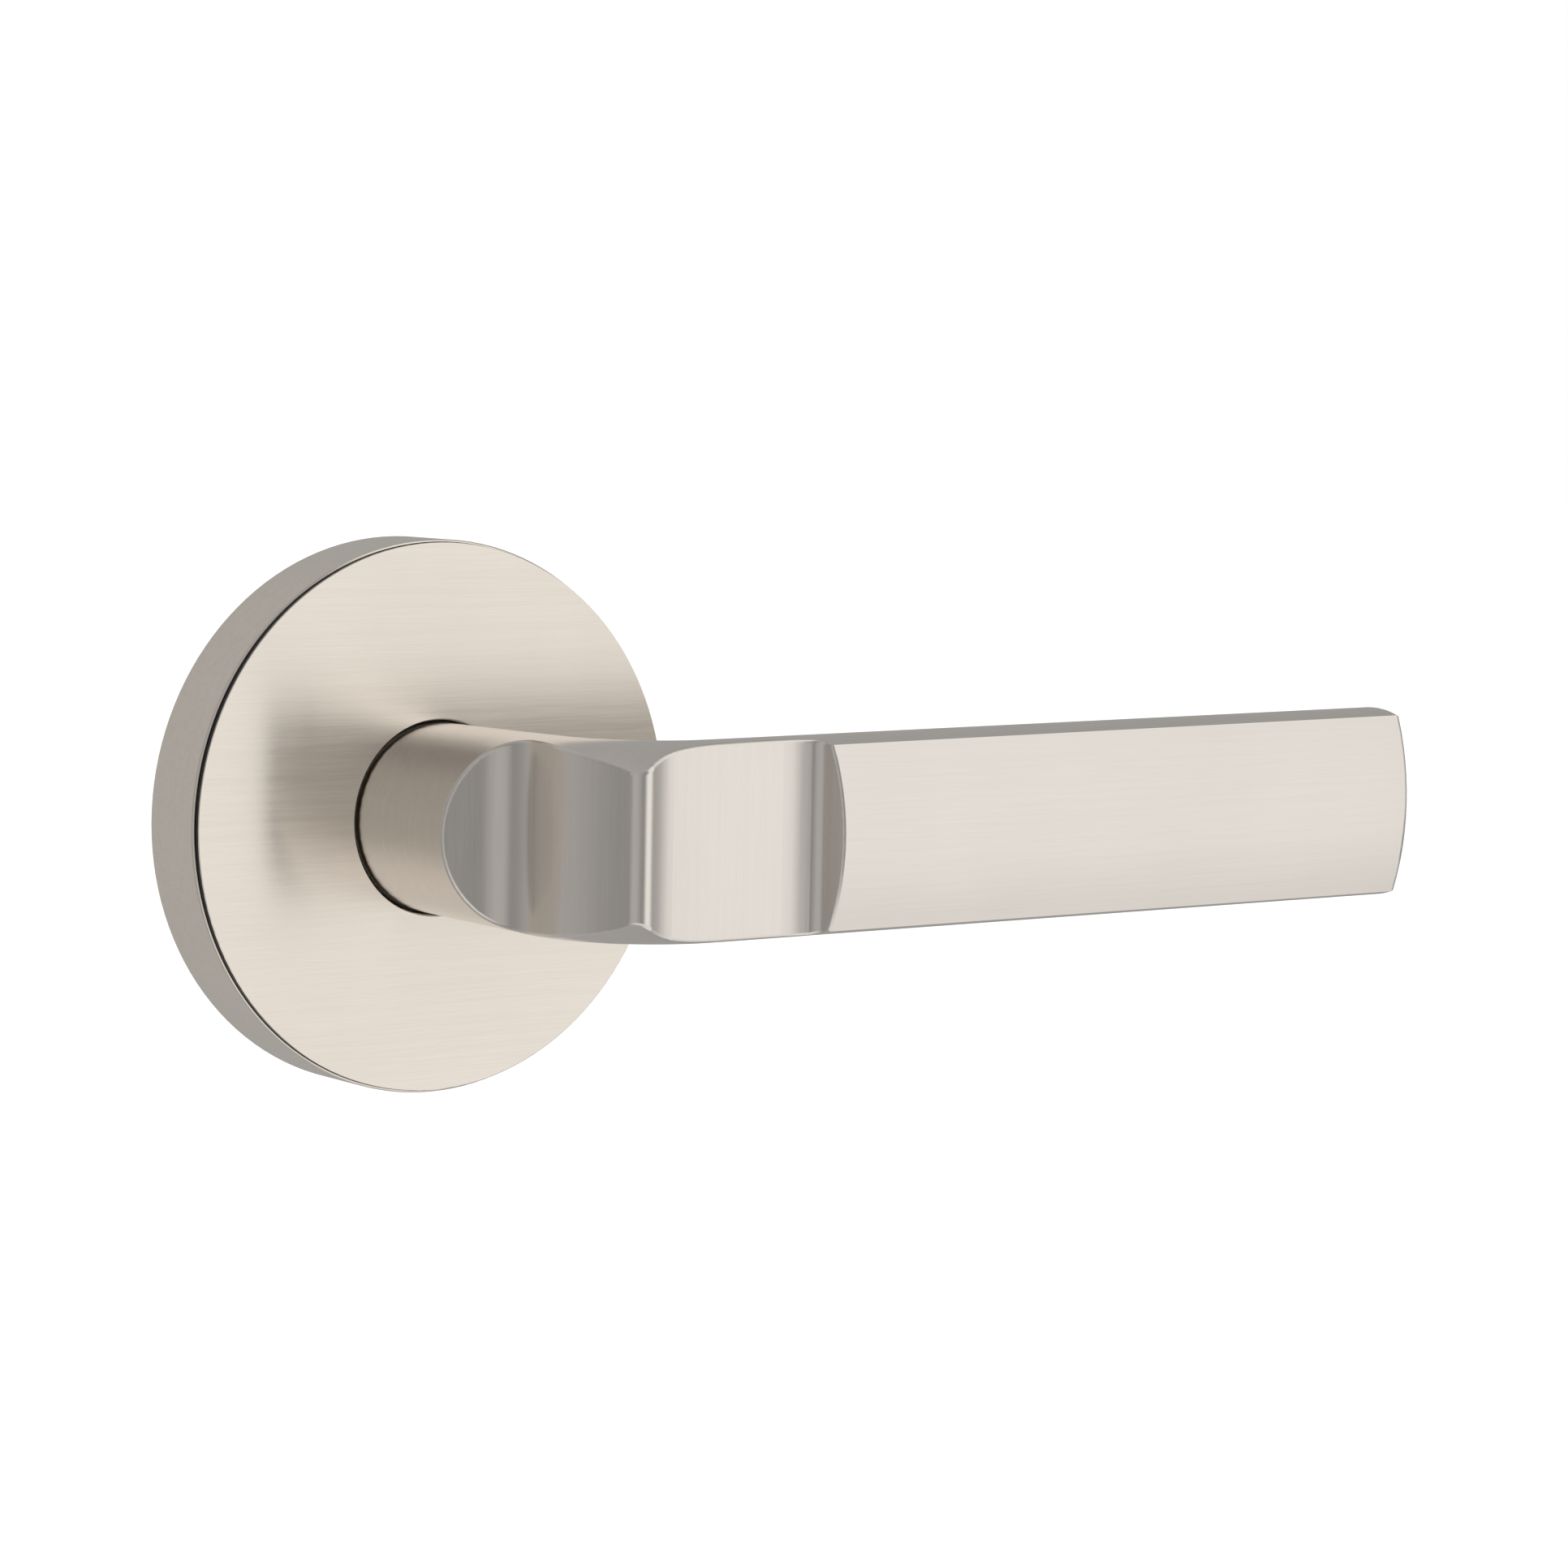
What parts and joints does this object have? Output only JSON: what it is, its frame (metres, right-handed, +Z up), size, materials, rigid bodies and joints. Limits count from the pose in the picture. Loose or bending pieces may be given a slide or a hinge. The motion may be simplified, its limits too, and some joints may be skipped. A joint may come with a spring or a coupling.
{
  "type": "door lever handle",
  "caption": "Satin door lever handle: round rosette, round shank bending into a flattened grip with scooped elbow, and a sprung fixing plate with square spindle behind.",
  "frame": {"origin": "centre of the round boss that locates the trim in the door's bore, on the spindle axis, in the plane of the door face", "axes": "+Y into the door along the spindle, +Z up, +X along the grip"},
  "size_m": [0.1539, 0.0853, 0.0666],
  "materials": {
    "satin_nickel": "satin nickel plate, fine straight brushing, lacquered",
    "cast_zinc": "zinc die casting, tumbled, matt grey",
    "plated_steel": "steel, bright zinc plated",
    "spring_steel": "drawn spring steel, lightly oiled",
    "black_steel": "black oxide on alloy steel",
    "nylon": "natural nylon, moulded, satin"
  },
  "bodies": {
    "plate": {"mounting_plate": "cast_zinc", "mounting_posts": "plated_steel", "spring_pocket_lid": "plated_steel", "lid_screws": "plated_steel", "front_bushing": "nylon", "rear_bushing": "nylon", "stop_pins": "plated_steel", "spring_anchor_pin": "plated_steel", "return_spring": "spring_steel", "rosette_clips": "spring_steel", "clip_rivets": "plated_steel"},
    "handle": {"lever": "satin_nickel", "lever_set_screw": "black_steel", "drive_hub": "cast_zinc", "spindle": "plated_steel", "spindle_roll_pin": "spring_steel", "hub_retaining_ring": "spring_steel", "rear_thrust_washer": "plated_steel", "lever_thrust_washer": "nylon", "disc_spring_washer": "spring_steel"},
    "rosette": {"rosette_cover": "satin_nickel", "rosette_bushing": "nylon"}
  },
  "joints": [
    {"name": "lever_turn", "type": "hinge", "parent": "plate", "child": "handle", "pos_m": [0, 0, 0], "axis": [0, 1, 0], "range_deg": [0, 45], "stiffness_Nm_per_rad": 0.8, "springref_deg": -45.84, "deforming": ["return_spring"]},
    {"name": "rosette_slide", "type": "slide", "parent": "plate", "child": "rosette", "axis": [0, -1, 0], "range_m": [0, 0.018]}
  ]
}
